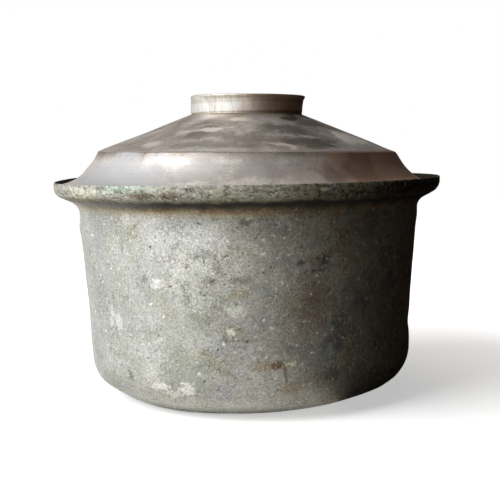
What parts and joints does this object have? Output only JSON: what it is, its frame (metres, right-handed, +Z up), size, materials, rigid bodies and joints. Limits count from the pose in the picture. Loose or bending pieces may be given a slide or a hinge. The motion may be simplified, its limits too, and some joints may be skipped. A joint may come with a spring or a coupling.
{
  "type": "lidded copper cooking pot",
  "caption": "Old tinned copper cooking pot with a sloping ledge, an upturned lip and a loose cone-shaped lid lifted by a ring on top.",
  "frame": {"origin": "centre of the underside of the base", "axes": "+Z up along the pot's axis, +X to the right and +Y away as the pot is seen from the front"},
  "size_m": [0.32, 0.32, 0.2475],
  "materials": {
    "pot_tin": "hammered copper sheet with old oxidised tinning, dull grey with an olive cast",
    "lid_tin": "copper sheet with wiped tinning, satin warm grey",
    "ring_tin": "tinned copper strip, satin and scraped by handling"
  },
  "bodies": {
    "root": {"pot_body": "pot_tin", "lid": "lid_tin", "lid_ring": "ring_tin"}
  },
  "joints": []
}
